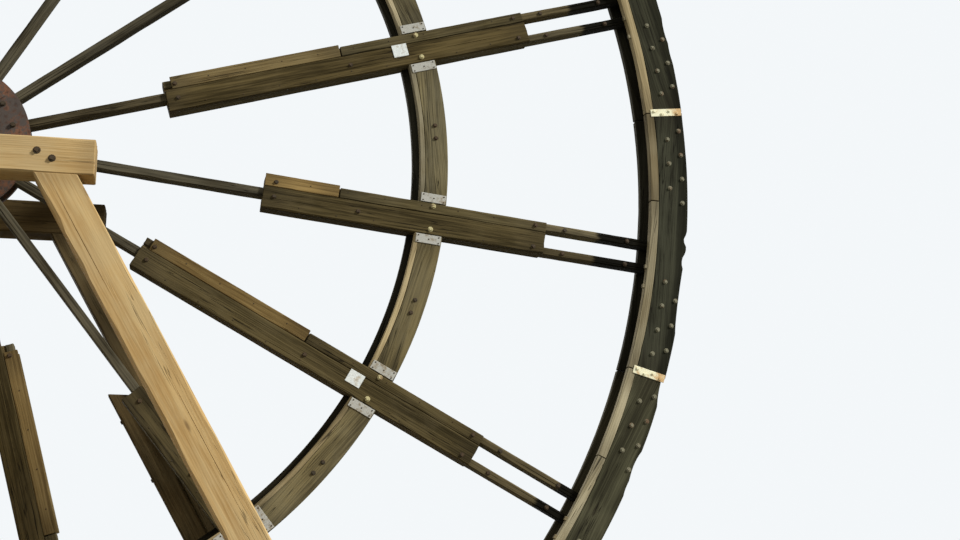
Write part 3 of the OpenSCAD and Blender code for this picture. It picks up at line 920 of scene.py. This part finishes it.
@dataclass
class InnerRing:
    """The inner ring: plates between the spokes, their lining, spacer blocks and pale end plates."""

    plate: float = 0.28
    lining: float = 0.06
    rear_plate: float = 0.41
    half_gap: float = 0.03
    shades: Span = (-0.4, 0.3)
    lining_shades: Span = (1.6, -0.6)
    block: Triple = (0.5, 0.26, 0.06)
    strap: Triple = (0.3084, 0.11, 0.01)
    strap_inner: float = 5.4757
    strap_offset: float = 0.203
    nail_spots: tuple[Span, ...] = ((0.03, 0.02), (0.03, 0.09), (0.16, 0.055), (0.28, 0.02), (0.28, 0.09))
    bolt_share: float = 0.11 / 3

    def build(self) -> None:
        """Builds the whole ring."""
        radius, middle = PLAN.ring_radius, self.half_gap + PLAN.hoop_depth / 2
        inside = radius - self.plate - PLAN.layer_gap
        self.hoop("ring_front", "plates", radius, self.plate, middle, Wood.RING, 200, self.shades)
        self.hoop("ring_lining", "boards", inside, self.lining, middle, Wood.LINING, 220, self.lining_shades)
        self.hoop("ring_rear", "plates", radius, self.rear_plate, -middle, Wood.RIM_REAR, 240, self.shades)
        spacer_blocks("ring_spacer_blocks", "ring_blocks", self.block, radius - self.plate / 2, 0.0, 260, 4)
        self.straps()

    def hoop(self, node: str, kind: str, outer: float, width: float, z: float, wood: Wood, seed: int,
             shades: Span) -> None:
        """Builds the plates of one hoop, one in each bay.

        Args:
            node: the node that it stands for.
            kind: what it is made of, for the piece's name.
            outer: the hoop's outer radius.
            width: its radial width.
            z: the middle of its depth.
            wood: its finish.
            seed: the number of its first timber.
            shades: the brightness of the plates in even and in odd bays.
        """
        batch = Batch(f"{node}_{kind}")
        arc = Arc(outer - width / 2, math.radians(PLAN.step / 2), PLAN.spoke_half)
        for k in range(PLAN.spoke_count):
            batch.arc(PLAN.spoke(k + 0.5), arc, width, z, seed + k, cuts=19, shade=shades[k % 2],
                      chamfer=0.006)
        batch.finish(wood, node)

    def straps(self) -> None:
        """Builds the end plates on both faces, with their nails, and the bolts through the blocks."""
        length, width, depth = self.strap
        face = self.half_gap + PLAN.hoop_depth
        inner, near = self.strap_inner, self.strap_offset
        bolt_radius = PLAN.ring_radius - self.plate / 2
        nails = Fixings("ring_strap_nails", Fastener(Head.NAIL, 0.02, 0.007))
        bolts = Fixings("ring_block_bolts", Fastener(Head.SQUARE, 0.032, 0.018, 0.058))
        for side, node in ((1, "ring_straps_front"), (-1, "ring_straps_rear")):
            batch = Batch(node + "_forged")
            for k in range(PLAN.spoke_count):
                place = PLAN.spoke(k)
                for hand in (1, -1):
                    batch.bar(place, (inner, inner + length), both_ways(hand, near, near + width),
                              both_ways(side, face, face + depth), 280 + 2 * k + hand, cuts=4, **FORGED)
                    for reach, shift in self.nail_spots:
                        nails.set_at(place, inner + reach, hand * (near + shift), side * (face + depth))
                for hand in (-1, 1):
                    beside = PLAN.spoke(k + 0.5 + hand * self.bolt_share)
                    bolts.set_at(beside, bolt_radius, 0, side * face)
            batch.finish(Iron.PLATE, node)
        nails.finish(Iron.BOLT_RUSTY)
        bolts.finish(Iron.BOLT_RUSTY)


@dataclass
class Spokes:
    """The sixteen spokes: middle timber, side timbers, cheek boards, pale boards and packing.

    A place on a spoke is a radius and a distance from its middle line. The starts and the pale boards have a
    value for the even spokes and one for the odd. Shades with four values, or with four pairs for the two
    hands, hold what four spokes of the lower right quarter have, which is repeated round the wheel.
    """

    middle: float = 0.105
    side: float = 0.092
    hub_end: float = 0.3303
    middle_end: float = 6.94
    rim_end: float = 8.69
    cheek_end: float = 7.06
    cheek_t: float = 0.045
    narrow: float = 0.125
    wide: float = 0.261
    seam: float = 0.004
    starts: Span = (2.49, 3.6)
    pale_lengths: Span = (2.18, 0.9)
    pale_late: Span = (0.09, 0.0)
    pale_shades: Span = (-0.7, 0.8)
    proud: float = 0.028
    packing_t: float = 0.15
    middle_cracks: tuple[tuple[float, int], ...] = ((-0.9, 1), (-0.35, -1), (0.2, 1))
    side_crack: Span = (0.62, 0.99)
    side_shades: tuple[Span, ...] = ((-0.4, 0.2), (0.1, 0.5), (-0.5, -0.6), (-1.7, 1.6))
    dry_reaches: tuple[Span, ...] = ((0.1, 0.0), (0.3, 0.2), (0.25, 0.42), (0.0, 0.03))
    wide_shades: tuple[float, ...] = (0.3, -0.9, -0.2, -0.1)
    narrow_shades: tuple[float, ...] = (0.6, -0.5, -0.3, 0.5)
    pale_bolts: tuple[Span, ...] = ((5.64, 0.161), (5.64, -0.131))
    start_bolts: tuple[Span, ...] = ((0.14, -0.05), (0.14, 0.13))
    cheek_bolts: tuple[Span, ...] = ((6.92, -0.13), (6.92, 0.14), (4.75, -0.06))
    side_bolts: tuple[Span, ...] = ((7.3, -0.149), (8.1, -0.149), (7.3, 0.149), (8.1, 0.149))
    nail_step: float = 0.45
    nail_lag: float = 0.1
    nail_rows: Span = (-0.16, 0.15)
    nail_stagger: float = 0.02
    patch: Triple = (0.19, 0.16, 0.008)
    patch_inner: float = 5.3

    def start(self, k: int) -> float:
        """Gives the radius where the side timbers and cheeks of spoke k start."""
        return self.starts[k % 2]

    def pale_end(self, k: int) -> float:
        """Gives the radius where the pale boards of spoke k end."""
        return self.start(k) + self.pale_lengths[k % 2]

    def build(self) -> None:
        """Builds all spokes."""
        self.timbers()
        self.boards()
        self.packing()
        self.fixings()

    def timbers(self) -> None:
        """Builds the middle and side timbers."""
        middle, sides = Batch("spoke_middle_timbers"), Batch("spoke_side_timbers")
        z, half = (-PLAN.half_beam, PLAN.half_beam), PLAN.spoke_half
        rng = random.Random(31)
        for k in range(PLAN.spoke_count):
            place = PLAN.spoke(k)
            checks = [crack for start, face in self.middle_cracks
                      for crack in cracks(rng, 0.03, (start,), (0.25, 0.5), (face,))]
            middle.bar(place, (self.hub_end, self.middle_end), (-self.middle / 2, self.middle / 2), z,
                       300 + k, cuts=40, checks=checks, wear=0.009)
            for n, hand in enumerate((-1, 1)):
                checks = [Check(rng.uniform(-0.02, 0.02), *self.side_crack)]
                sides.bar(place, (self.start(k), self.rim_end), both_ways(hand, half - self.side, half), z,
                          330 + 2 * k + hand, cuts=40, wear=0.009, checks=checks,
                          shade=self.side_shades[k % 4][n], dry_reach=self.dry_reaches[k % 4][n])
        middle.finish(Wood.SPOKE_DARK, "main_spokes")
        sides.finish(Wood.SIDE, "side_spokes")

    def boards(self) -> None:
        """Builds the cheek boards and the pale boards on both faces."""
        pale = Batch("spoke_pale_boards")
        half = PLAN.spoke_half
        rng = random.Random(32)
        for side, node in ((1, "cheeks_front"), (-1, "cheeks_rear")):
            cheeks = Batch(node + "_boards")
            z = both_ways(side, PLAN.half_beam, PLAN.half_beam + self.cheek_t)
            for k in range(PLAN.spoke_count):
                place, number = PLAN.spoke(k), 4 * k + side
                checks = cracks(rng, 0.1, (-0.95, -0.2, 0.5), (0.15, 0.4), (side,), depth=0.01, width=0.006)
                cheeks.bar(place, (self.start(k), self.cheek_end - rng.uniform(0, 0.02)),
                           (-half, -half + self.wide), z, 400 + number, cuts=30, checks=checks,
                           shade=self.wide_shades[k % 4], **BOARD)
                cheeks.bar(place, (self.pale_end(k) + self.seam, self.cheek_end - rng.uniform(0, 0.03)),
                           (half - self.narrow, half), z, 480 + number, cuts=24,
                           shade=self.narrow_shades[k % 4], **BOARD)
                pale.bar(place, (self.start(k) + self.pale_late[k % 2], self.pale_end(k)),
                         (half - self.narrow, half + self.proud), z, 560 + number, cuts=16, chamfer=0.005,
                         ragged=0.014, shade=self.pale_shades[k % 2])
            cheeks.finish(Wood.SPOKE, node)
        pale.finish(Wood.PALE_BOARD, "pale_boards")

    def packing(self) -> None:
        """Builds the packing boards between the timbers."""
        batch = Batch("spoke_packing_boards")
        for k in range(PLAN.spoke_count):
            for hand in (-1, 1):
                batch.bar(PLAN.spoke(k), (self.start(k), self.middle_end),
                          both_ways(hand, self.middle / 2, PLAN.spoke_half - self.side),
                          (-self.packing_t / 2, self.packing_t / 2), 640 + 2 * k + hand, cuts=12, bow=0.0)
        batch.finish(Wood.PALE_BOARD, "packing_boards")

    def fixings(self) -> None:
        """Sets the bolts and nails of the boards, and the pale patches on the even spokes."""
        bright = Fixings("spoke_bolts_pale", Fastener(Head.SQUARE, 0.036, 0.02, 0.066))
        dull = Fixings("spoke_bolts_rusty", Fastener(Head.SQUARE, 0.034, 0.018, 0.058))
        nails = Fixings("spoke_nails", Fastener(Head.NAIL, 0.018, 0.006))
        patches = Batch("spoke_patches")
        face = PLAN.half_beam + self.cheek_t
        length, width, depth = self.patch
        low, high = self.nail_rows
        for k in range(PLAN.spoke_count):
            place, start = PLAN.spoke(k), self.start(k)
            start_bolts = tuple((start + x, y) for x, y in self.start_bolts)
            for side in (1, -1):
                for fixings, spots, height in ((bright, self.pale_bolts, face),
                                               (dull, start_bolts + self.cheek_bolts, face),
                                               (dull, self.side_bolts, PLAN.half_beam)):
                    for x, y in spots:
                        fixings.set_at(place, x, y, side * height)
                for n in range(1, int((self.cheek_end - start) / self.nail_step)):
                    x = start + self.nail_step * n
                    nails.set_at(place, x, low + self.nail_stagger * (n % 2), side * face)
                    nails.set_at(place, x + self.nail_lag, high, side * face)
            if k % 2 == 0:
                patches.bar(place, (self.patch_inner, self.patch_inner + length), (-width / 2, width / 2),
                            (face, face + depth), 700 + k, cuts=3, **(FORGED | {"chamfer": 0.002}))
        bright.finish(Iron.BOLT_PALE)
        dull.finish(Iron.BOLT_RUSTY)
        nails.finish(Iron.BOLT_RUSTY)
        patches.finish(Iron.PATCH)


@dataclass
class Castings:
    """The iron of the hub, the axle and the bearings, with cast or turned edges, and its bolts."""

    flange_face: float = 0.15
    bolt_radii: Span = (0.46, 0.72)
    foot_bolt: Span = (0.37, 8.97)
    cap_bolt: Span = (0.3, 9.3)
    bolt_gap: float = 0.07
    joined: float = 2e-5
    flat_below: float = 1.0
    sharp_above: float = 35.0
    smooth_below: float = 30.0

    def soften(self, node: str, made: str, body: str, rounding: float = 0.006) -> None:
        """Rounds the sharp edges of a copy of a node.

        Args:
            node: the node.
            made: how it was made, which goes into the new piece's name.
            body: the body that it rides on.
            rounding: the size of the rounding.
        """
        batch = Batch(f"{node}_{made}", body)
        shape = bmesh.new()
        shape.from_mesh(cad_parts[node].data)
        bmesh.ops.remove_doubles(shape, verts=shape.verts, dist=self.joined)
        bmesh.ops.dissolve_limit(shape, angle_limit=math.radians(self.flat_below), verts=shape.verts,
                                 edges=shape.edges)
        least = math.radians(self.sharp_above)
        sharp = [e for e in shape.edges if e.is_manifold and e.calc_face_angle(0) > least]
        bmesh.ops.bevel(shape, geom=sharp, offset=rounding, offset_type="OFFSET", segments=2, profile=0.5,
                        affect="EDGES", material=-1, clamp_overlap=True)
        batch.add(shape, Matrix.Identity(4))
        batch.finish(Iron.CAST, node, smooth=self.smooth_below)

    def build(self) -> None:
        """Builds the castings and their bolts."""
        self.soften("axle", "turned", "wheel")
        self.soften("hub_barrel", "cast", "wheel")
        for end in ("front", "rear"):
            self.soften(f"hub_flange_{end}", "cast", "wheel", 0.008)
            self.soften(f"bearing_{end}", "cast", "trestle")
            self.soften(f"bearing_cap_{end}", "cast", "trestle")
        self.hub_bolts()
        self.bearing_bolts()

    def hub_bolts(self) -> None:
        """Sets two bolts through each spoke's end, between the flanges."""
        bolts = Fixings("hub_bolts", Fastener(Head.HEX, 0.05, 0.03, 0.07, 0.006))
        for k in range(PLAN.spoke_count):
            for radius in self.bolt_radii:
                for side in (1, -1):
                    bolts.set_at(PLAN.spoke(k), radius, 0, side * self.flange_face)
        bolts.finish(Iron.BOLT_RUSTY)

    def bearing_bolts(self) -> None:
        """Sets the bolts of the bearings' feet and caps."""
        bolts = Fixings("bearing_bolts", Fastener(Head.HEX, 0.055, 0.035, 0.08, 0.006), "trestle")
        for side in (-1, 1):
            for hand in (-1, 1):
                for shift in (-self.bolt_gap, self.bolt_gap):
                    spot = Matrix.Translation((0, side * PLAN.frame_y + shift, 0))
                    for x, z in (self.foot_bolt, self.cap_bolt):
                        bolts.set_at(spot, hand * x, 0, z)
        bolts.finish(Iron.BOLT_RUSTY)


class Along(Enum):
    """Which way a trestle timber's grain runs."""

    X = Matrix.Identity(4)
    Y = CROSSWAYS
    Z = Matrix.Rotation(-math.pi / 2, 4, "Y")


@dataclass
class Trestle:
    """The two A-frames, their shores and the ground timbers."""

    timber: float = 0.4
    leg_top: Span = (1.31, 8.49)
    leg_foot: Span = (5.82, 0.6)
    shore: float = 0.25
    shore_top: float = 7.6
    shore_foot: Span = (4.35, 0.3)
    doubler: Span = (0.28, 0.25)
    doubler_reach: Span = (6.54, 3.86)
    doubler_gap: float = 0.001
    doubler_bolts: tuple[float, ...] = (-1.25, -0.45, 0.45, 1.25)
    plank_bolt: Span = (0.042, 0.07)
    beam_bolt: Span = (0.08, -0.04)

    @property
    def slope(self) -> float:
        """Gives how far a leg runs outward for each metre down."""
        return (self.leg_foot[0] - self.leg_top[0]) / (self.leg_top[1] - self.leg_foot[1])

    def leg_x(self, z: float) -> float:
        """Gives how far out the middle of a leg is at a height."""
        return self.leg_top[0] + self.slope * (self.leg_top[1] - z)

    def build(self) -> None:
        """Builds the whole trestle."""
        square = (self.timber, self.timber)
        # The rear frame takes the darker copy of the trestle timber, which is painted shade
        for n, (side, end, wood) in enumerate(((-1, "front", Wood.TRESTLE), (1, "rear", Wood.TRESTLE_REAR_SHADED))):
            y = side * PLAN.frame_y
            for hand, name in ((-1, "left"), (1, "right")):
                top, foot = (Vector((hand * x, y, z)) for x, z in (self.leg_top, self.leg_foot))
                leg = Batch(f"leg_{end}_{name}_timber", "trestle")
                self.slanted(leg, top, foot, Vector((0, side, 0)), (UP, UP), square, 800 + 10 * n + hand)
                leg.finish(wood, f"leg_{end}_{name}")
            self.raking_shore(side, end, wood, 840 + n)
            self.boxed(f"post_{end}", Along.Z, wood, 850 + n)
            self.boxed(f"cap_beam_{end}", Along.X, wood, 852 + n)
            self.boxed(f"collar_plank_{end}", Along.X, wood, 854 + n)
            self.boxed(f"sill_{end}", Along.X, Wood.GROUND, 856 + n)
        for n, name in enumerate(("middle", "left_inner", "right_inner", "left_outer", "right_outer")):
            self.boxed(f"ground_{name}", Along.Y, Wood.GROUND, 860 + n)
        self.doublers()
        self.bolts()

    def boxed(self, node: str, along: Along, wood: Wood, seed: int) -> None:
        """Builds a square timber in the place of a node.

        Args:
            node: the node.
            along: which way its grain runs.
            wood: its finish.
            seed: the timber's own number.
        """
        low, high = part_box(node)
        length, width, depth = (abs(part) for part in along.value.to_3x3().inverted() @ (high - low))
        checks = cracks(random.Random(seed), 0.09, (-0.97, -0.3, 0.4), (0.2, 0.45), (1, -1))
        cuts = max(8, int(length * 5))
        timber = Timber(length, width, depth, seed, cuts=cuts, checks=checks, chamfer=0.01, wear=0.012,
                        ragged=0.01, bow=0.0)
        batch = Batch(node + "_timber", "trestle")
        batch.add(timber.shaped(), Matrix.Translation((low + high) / 2) @ along.value)
        batch.finish(wood, node)

    def slanted(self, batch: Batch, start: Vector, end: Vector, face: Vector, cuts: tuple[Vector, Vector],
                size: Span, seed: int, shade: float = 0.0) -> Matrix:
        """Adds a raking timber whose ends are cut to what they meet.

        Args:
            batch: where it goes.
            start: the middle of its first end.
            end: the middle of its second end.
            face: the way that its broad face looks.
            cuts: the directions that its two ends face.
            size: its width on the face and its depth behind it.
            seed: the timber's own number.
            shade: its brightness.

        Returns:
            The timber's own frame.
        """
        x = (end - start).normalized()
        y = face.cross(x).normalized()
        place = Matrix((x, y, x.cross(y))).transposed().to_4x4()
        place.translation = (start + end) / 2
        first, second = (-y.dot(cut) / x.dot(cut) for cut in cuts)
        checks = cracks(random.Random(seed), 0.1, (-0.97, -0.45, 0.05, 0.5), (0.2, 0.5))
        timber = Timber((end - start).length, *size, seed, cuts=48, checks=checks, chamfer=0.01, wear=0.013,
                        ragged=0.0, bow=0.0, end_slopes=(first, second), shade=shade)
        batch.add(timber.shaped(), place)
        return place

    def raking_shore(self, side: int, end: str, wood: Wood, seed: int) -> None:
        """Builds one shore from the post down to the middle ground timber.

        Args:
            side: -1 for the front, 1 for the rear.
            end: the side's name.
            wood: its finish.
            seed: the timber's own number.
        """
        post_face = PLAN.frame_y + self.timber / 2
        heel_y, heel_z = self.shore_foot
        run, rise = heel_y - post_face, self.shore_top - heel_z
        skew = self.shore * math.hypot(run, rise)
        head = Vector((0, side * post_face, self.shore_top - skew / run / 2))
        heel = Vector((0, side * (heel_y - skew / rise / 2), heel_z))
        batch = Batch(f"shore_{end}_timber", "trestle")
        self.slanted(batch, head, heel, Vector((1, 0, 0)), (REARWARD, UP), (self.shore, self.shore), seed)
        batch.finish(wood, f"shore_{end}")

    def doublers(self) -> None:
        """Bolts a shorter timber under each rear leg, with the bolts' heads below."""
        batch = Batch("leg_rear_doublers", "trestle")
        heads = Fixings("leg_doubler_bolts", Fastener(Head.SQUARE, 0.034, 0.014, 0.06), "trestle")
        width = self.doubler[0]
        inward = (self.timber / 2 + self.doubler_gap + width / 2) * math.hypot(1, self.slope)
        for hand in (-1, 1):
            start, end = (Vector((hand * (self.leg_x(z) - inward), PLAN.frame_y, z))
                          for z in self.doubler_reach)
            place = self.slanted(batch, start, end, REARWARD, (UP, UP), self.doubler, 870 + hand, 0.4)
            below = Matrix.Rotation(-hand * math.pi / 2, 4, "X")
            for along in self.doubler_bolts:
                heads.set_at(place @ Matrix.Translation((along, hand * width / 2, 0)) @ below)
        # The doublers take the same painted shade as the rear frame
        batch.finish(Wood.TRESTLE_REAR_SHADED)
        heads.finish(Iron.BOLT_RUSTY)

    def bolts(self) -> None:
        """Sets the bolts where the timbers cross, two aslant at each crossing."""
        bolts = Fixings("trestle_bolts", Fastener(Head.SQUARE, 0.045, 0.026, 0.085, 0.006), "trestle")
        for side, end in ((-1, "front"), (1, "rear")):
            outward = Matrix.Rotation(-side * math.pi / 2, 4, "X")
            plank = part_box("collar_plank_front")
            reach = self.leg_x((plank[0].z + plank[1].z) / 2)
            rows = ((plank, side * abs(plank[0].y), reach, self.plank_bolt),)
            for node, ends in (("cap_beam", self.leg_top[0] - 0.12), ("sill", self.leg_foot[0])):
                low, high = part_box(f"{node}_{end}")
                rows += (((low, high), high.y if side > 0 else low.y, ends, self.beam_bolt),)
            for (low, high), y, ends, (aside, above) in rows:
                for x in (-ends, 0.0, ends):
                    for turn in (-1, 1):
                        place = (x + turn * aside, y, (low.z + high.z) / 2 + turn * above)
                        bolts.set_at(Matrix.Translation(place) @ outward)
        bolts.finish(Iron.BOLT_RUSTY)


@dataclass
class Studio:
    """The camera, the lamps, the plain background and the floor.

    Each lamp is a name, a strength, how wide its disc looks and the way that it shines.
    """

    eye: Triple = (2.678, -17.341, 3.789)
    pitch: float = 13.427
    turn: float = 11.556
    lens: float = 56.25
    lamp_rows: tuple[tuple[str, float, float, Triple], ...] = (("key", 3.9, 10, (-0.8, 0.52, -0.62)),
                                                               ("fill", 0.5, 60, (0.6, 0.7, -0.2)),
                                                               ("back", 1.9, 40, (0.25, -0.85, -0.45)))
    sky: Colour = (0.94, 0.97, 1.0, 1.0)
    sky_light: float = 0.34
    background: Colour = (0.9, 0.93, 0.95, 1.0)
    floor_size: float = 400.0
    floor_lit: Shade = (98, 96, 86)
    floor_seen: Shade = (202, 202, 198)

    def build(self) -> None:
        """Sets everything up."""
        self.camera()
        self.lamps()
        self.world()
        self.floor()

    def camera(self) -> None:
        """Puts the camera where the viewer stood."""
        data = bpy.data.cameras.new("camera")
        data.lens = self.lens
        data.sensor_width = 36.0
        data.clip_end = 500.0
        camera = bpy.data.objects.new("camera", data)
        camera.location = self.eye
        camera.rotation_euler = (math.radians(90 + self.pitch), 0, -math.radians(self.turn))
        bpy.context.scene.collection.objects.link(camera)
        bpy.context.scene.camera = camera

    def lamps(self) -> None:
        """Hangs a soft key lamp over the viewer's right shoulder, and weak ones on the left and behind."""
        for name, strength, angle, way in self.lamp_rows:
            data = bpy.data.lights.new(name, "SUN")
            data.energy = strength
            data.angle = math.radians(angle)
            lamp = bpy.data.objects.new(name, data)
            lamp.rotation_euler = Vector(way).to_track_quat("-Z", "Y").to_euler()
            bpy.context.scene.collection.objects.link(lamp)

    def world(self) -> None:
        """Lights the scene evenly, with a white background for the camera, for gloss and for glass."""
        world = bpy.data.worlds.new("studio")
        bpy.context.scene.world = world
        g = Graph(world)
        plain = g.tree.nodes["Background"]
        g.feed(plain.inputs["Color"], self.sky)
        g.feed(plain.inputs["Strength"], self.sky_light)
        white = g.add("ShaderNodeBackground", {"Color": self.background, "Strength": 1.0})
        path = g.add("ShaderNodeLightPath", {})
        seen = g.math("MAXIMUM", path.outputs["Is Camera Ray"], path.outputs["Is Glossy Ray"])
        seen = g.math("MAXIMUM", seen, path.outputs["Is Transmission Ray"])
        mixed = g.add("ShaderNodeMixShader", {0: seen, 1: plain.outputs[0], 2: white.outputs[0]})
        g.feed(g.tree.nodes["World Output"].inputs["Surface"], mixed.outputs[0])

    def floor(self) -> None:
        """Lays the pale floor, which throws little light back up at the wheel."""
        shape = bmesh.new()
        bmesh.ops.create_grid(shape, x_segments=1, y_segments=1, size=self.floor_size / 2)
        mesh = bpy.data.meshes.new("floor")
        shape.to_mesh(mesh)
        shape.free()
        g = Graph(bpy.data.materials.new("floor_pale"))
        path = g.add("ShaderNodeLightPath", {})
        seen = g.math("MAXIMUM", path.outputs["Is Camera Ray"], path.outputs["Is Glossy Ray"])
        g.feed(g.shader.inputs["Base Color"], g.mix(seen, linear(self.floor_lit), linear(self.floor_seen)))
        g.feed(g.shader.inputs["Roughness"], 0.9)
        mesh.materials.append(g.owner)
        floor = bpy.data.objects.new("floor", mesh)
        bpy.context.scene.collection.objects.link(floor)


def main() -> None:
    """Builds the sub-assemblies in order."""
    logging.basicConfig(level=logging.INFO, format="%(name)s: %(message)s")
    bpy.context.scene.view_settings.view_transform = "Standard"
    for part in (Studio(), Rim(), InnerRing(), Spokes(), Castings(), Trestle()):
        LOG.info("building %s", type(part).__name__)
        part.build()


if __name__ == "__main__":
    main()
